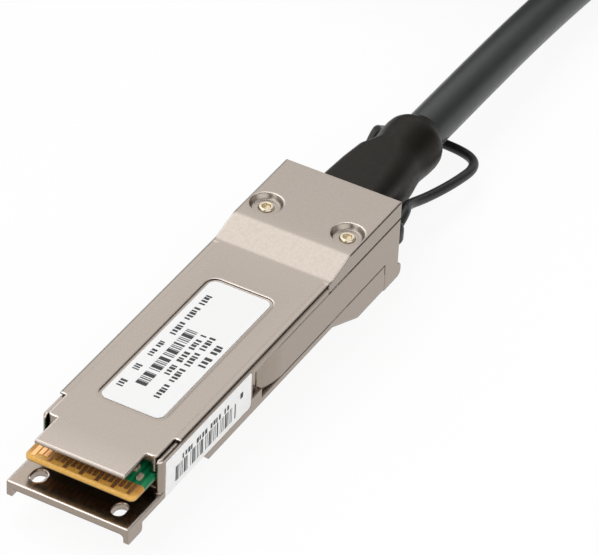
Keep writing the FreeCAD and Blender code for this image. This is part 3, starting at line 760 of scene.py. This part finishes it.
def coil_corners():
    """Corners of polygons round the coil's turns: the cable's spline then lies on the turns."""
    places = []
    for layer, z in enumerate(COIL_LAYERS):
        columns = COIL_COLUMNS if layer % 2 == 0 else COIL_COLUMNS[::-1]
        places += [(radius, z) for radius in columns]
    step = 2 * math.pi / POINTS_PER_TURN
    corners = []
    for k in range(int(COIL_TURNS * POINTS_PER_TURN)):
        turns = (k + 0.5) / POINTS_PER_TURN
        turn = int(turns)
        moved = max(0.0, (turns - turn - (1 - CROSSOVER)) / CROSSOVER)
        moved = moved * moved * (3 - 2 * moved)
        here, there = places[turn], places[min(turn + 1, len(places) - 1)]
        radius = (here[0] + (there[0] - here[0]) * moved) / math.cos(step / 2)
        angle = (k + 0.5) * step - math.pi / 2
        corners.append((COIL_CENTRE[0] + radius * math.cos(angle),
                        COIL_CENTRE[1] + radius * math.sin(angle),
                        here[1] + (there[1] - here[1]) * moved))
    return corners


def cable():
    """The whole cable as one spline, from boot to boot through the coil."""
    route = in_row(NEAR_RUN + coil_corners() + FAR_RUN[::-1])
    piece = smooth_wire("cable", route, CABLE_D / 2 * MM, jacket, "cable", steps=8)
    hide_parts("cable_near_run", "cable_coil", "cable_far_run")


# ---- the strap round the coil --------------------------------------------------------------------
STRAP_ANGLE = math.radians(20)
STRAP_WIDTH, STRAP_THICK = 12.0, 0.46
STRAP_LAPS = 1.55                        # the strap runs round the bundle and over itself
STRAP_START = 0.62                       # where it begins, as a share of the way round
STRAP_GAP = 0.03                         # the clearance under each lap
STRAP_CLIMB_AT, STRAP_CLIMB = 0.97, 0.06    # laps before it climbs on itself, and while it climbs
STRAP_TIP, STRAP_TIP_SHARE = 0.80, 0.05     # its ends' width, and the share over which it grows
STEPS_PER_LAP = 180
STRAP_POINTS = 16                        # round its section
BUNDLE_R = (29.05, 47.95)                # the coil's bundle, from the coil's centre
BUNDLE_Z = (1.0, 26.2)
BUNDLE_CORNER = 3.15
BUNDLE_FLAT_R = BUNDLE_R[1] - BUNDLE_R[0] - 2 * BUNDLE_CORNER    # between the rounded corners
BUNDLE_FLAT_Z = BUNDLE_Z[1] - BUNDLE_Z[0] - 2 * BUNDLE_CORNER
BUNDLE_AROUND = 2 * (BUNDLE_FLAT_R + BUNDLE_FLAT_Z) + 2 * math.pi * BUNDLE_CORNER


def bundle_point(distance, out):
    """A point and the outward direction on the bundle's outline, pushed out by a little."""
    left = distance % BUNDLE_AROUND
    arc = math.pi / 2 * BUNDLE_CORNER
    centre = (BUNDLE_R[0] + BUNDLE_CORNER, BUNDLE_Z[1] - BUNDLE_CORNER)
    for side, run in enumerate((BUNDLE_FLAT_R, BUNDLE_FLAT_Z) * 2):
        heading = -side * math.pi / 2
        straight = min(left, run)
        centre = (centre[0] + straight * math.cos(heading),
                  centre[1] + straight * math.sin(heading))
        turned = min(max(left - run, 0), arc) / BUNDLE_CORNER
        left -= run + arc
        if left <= 0:
            break
    turn = heading + math.pi / 2 - turned
    outward = (math.cos(turn), math.sin(turn))
    return [centre[k] + outward[k] * (BUNDLE_CORNER + out) for k in (0, 1)], outward


def coil_strap():
    """A hook-and-loop strap, wound tight round the bundle, its end pressed on its own first lap."""
    radial = Vector((math.cos(STRAP_ANGLE), math.sin(STRAP_ANGLE), 0))
    sideways = Vector((-radial.y, radial.x, 0))
    middle = Vector((*COIL_CENTRE, 0))
    half_thick = STRAP_THICK / 2
    steps = int(STRAP_LAPS * STEPS_PER_LAP)
    rings = []
    for k in range(steps + 1):
        laps = STRAP_LAPS * k / steps
        climbed = min(max((laps - STRAP_CLIMB_AT) / STRAP_CLIMB, 0), 1)
        height = STRAP_GAP + half_thick + climbed * (STRAP_THICK + STRAP_GAP)
        (r, z), outward = bundle_point((STRAP_START + laps) * BUNDLE_AROUND, height)
        out = radial * outward[0] + Vector((0, 0, outward[1]))
        centre = middle + radial * r + Vector((0, 0, z))
        grown = min(k, steps - k) / steps / STRAP_TIP_SHARE
        flat = STRAP_WIDTH / 2 * min(1.0, STRAP_TIP + (1 - STRAP_TIP) * grown) - half_thick
        turns = [2 * math.pi * (j + 0.5) / STRAP_POINTS for j in range(STRAP_POINTS)]
        rings.append(in_row([
            centre + sideways * (math.copysign(flat, math.cos(t)) + half_thick * math.cos(t))
            + out * (half_thick * math.sin(t)) for t in turns]))
    piece = new_object("coil_strap", lofted("coil_strap", rings), strap, "cable")
    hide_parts("coil_tie")


# ---- the camera, at the photograph's viewing angle, in the row's frame ---------------------------
CAMERA_TARGET = Vector((4.083, -2.797, 8.4)) * MM
AZIMUTH, ELEVATION, ROLL = math.radians(208.199), math.radians(37.918), math.radians(2.823)
DISTANCE = 600.868 * MM
LENS, SENSOR = 265.49, 36.0
CLIP_START = 0.01


def camera():
    """The camera, set by its direction from the target."""
    back = Vector((math.cos(ELEVATION) * math.cos(AZIMUTH),
                   math.cos(ELEVATION) * math.sin(AZIMUTH), math.sin(ELEVATION)))
    right = (-back).cross(Vector((0, 0, 1))).normalized()
    up = right.cross(-back)
    across = right * math.cos(ROLL) + up * math.sin(ROLL)
    upright = up * math.cos(ROLL) - right * math.sin(ROLL)
    made = bpy.data.objects.new("camera", bpy.data.cameras.new("camera"))
    bpy.context.scene.collection.objects.link(made)
    turn = Matrix((across, upright, back)).transposed().to_4x4()
    made.matrix_world = Matrix.Translation(CAMERA_TARGET + back * DISTANCE) @ turn
    made.data.sensor_width = SENSOR
    made.data.lens = LENS
    made.data.clip_start = CLIP_START
    bpy.context.scene.camera = made


# ---- the studio ----------------------------------------------------------------------------------
# Soft panels: their direction, the cosines between which they fade in, and both strengths.
PANELS = (
    ((0.55, 0.83, 0.0), -0.1, 0.6, 0.03, 1.17),       # the bright far side
    ((0.72, 0.35, 0.60), 0.80, 0.97, 0.0, 0.17),      # mirrored in the cover's top
    ((0.27, 0.33, 0.90), 0.86, 0.975, 0.0, 1.6),      # in its slope
    ((-0.6, 0.35, 0.7), 0.92, 0.985, 0.0, 3.0),       # in edges that look ahead and up
    ((-0.88, 0.40, 0.25), 0.93, 0.99, 0.0, 1.6),      # in faces that look ahead
    ((0.55, -0.83, 0.10), 0.92, 0.99, 0.0, 1.05),     # in the rounds along the right side
    ((-0.5, -0.78, 0.35), 0.6, 0.96, 0.0, 2.1),       # a broad one, to light the right side
    ((0.36, -0.47, 0.77), 0.97, 0.995, 0.0, 1.5),     # in the slope's right edge
)
FLOOR_REACH = 2.0         # metres from the middle to each side
FLOOR_WHITE = 0.98
FLOOR_GLOW = 0.9          # the share of plain white in the floor as a background
KEY_TOWARDS = Vector((-0.1, -0.5, 0.85)).normalized()
KEY_DISTANCE, KEY_SIZE, KEY_BRIGHTNESS = 1.0, 0.4, 0.2


def world():
    """The studio's light: its soft panels, added up."""
    made = bpy.data.worlds.new("studio")
    n = empty_nodes(made)
    direction = n.node("TexCoord").outputs["Generated"]
    panels = [n.spread(n.dot(direction, Vector(towards).normalized()), low, high, dark, bright,
                       curve="SMOOTHSTEP")
              for towards, low, high, dark, bright in PANELS]
    light = n.node("Background")
    n.feed(n.joined("ADD", *panels), light.inputs["Strength"])
    n.feed(light.outputs[0], n.node("OutputWorld").inputs["Surface"])
    bpy.context.scene.world = made


def floor():
    """A white floor that keeps a faint shadow, and is a white background in metal too."""
    reach = FLOOR_REACH
    corners = [(-reach, -reach, 0), (reach, -reach, 0), (reach, reach, 0), (-reach, reach, 0)]
    material = bpy.data.materials.new("floor_white")
    n = empty_nodes(material)
    diffuse, glow, mix = n.node("BsdfDiffuse"), n.node("Emission"), n.node("MixShader")
    diffuse.inputs["Color"].default_value = (FLOOR_WHITE, FLOOR_WHITE, FLOOR_WHITE, 1)
    glow.inputs["Strength"].default_value = 1.0
    rays = n.node("LightPath").outputs
    background = n.joined("MAXIMUM", rays["Is Camera Ray"], rays["Is Glossy Ray"],
                          rays["Is Transmission Ray"])
    n.feed(n.joined("MULTIPLY", background, FLOOR_GLOW), mix.inputs[0])
    n.feed(diffuse.outputs[0], mix.inputs[1])
    n.feed(glow.outputs[0], mix.inputs[2])
    n.feed(mix.outputs[0], n.node("OutputMaterial").inputs["Surface"])
    new_object("floor", mesh_from("floor", corners, [(0, 1, 2, 3)]), material, None)


def key_lamp():
    """A square area lamp aimed at the object. A brightness of 1 looks white in a mirror."""
    lamp = bpy.data.lights.new("key", "AREA")
    lamp.shape = "SQUARE"
    lamp.size = KEY_SIZE
    lamp.energy = KEY_BRIGHTNESS * math.pi * KEY_SIZE ** 2
    made = bpy.data.objects.new("key", lamp)
    bpy.context.scene.collection.objects.link(made)
    made.location = CAMERA_TARGET + KEY_TOWARDS * KEY_DISTANCE
    made.rotation_euler = KEY_TOWARDS.to_track_quat("Z", "Y").to_euler()


camera()
for end in ends:
    dress_connector(end)
    boot(end)
    pull_loop(end)
    labels(end)
coil_strap()
cable()
world()
floor()
key_lamp()

bpy.context.scene.view_settings.view_transform = "Standard"
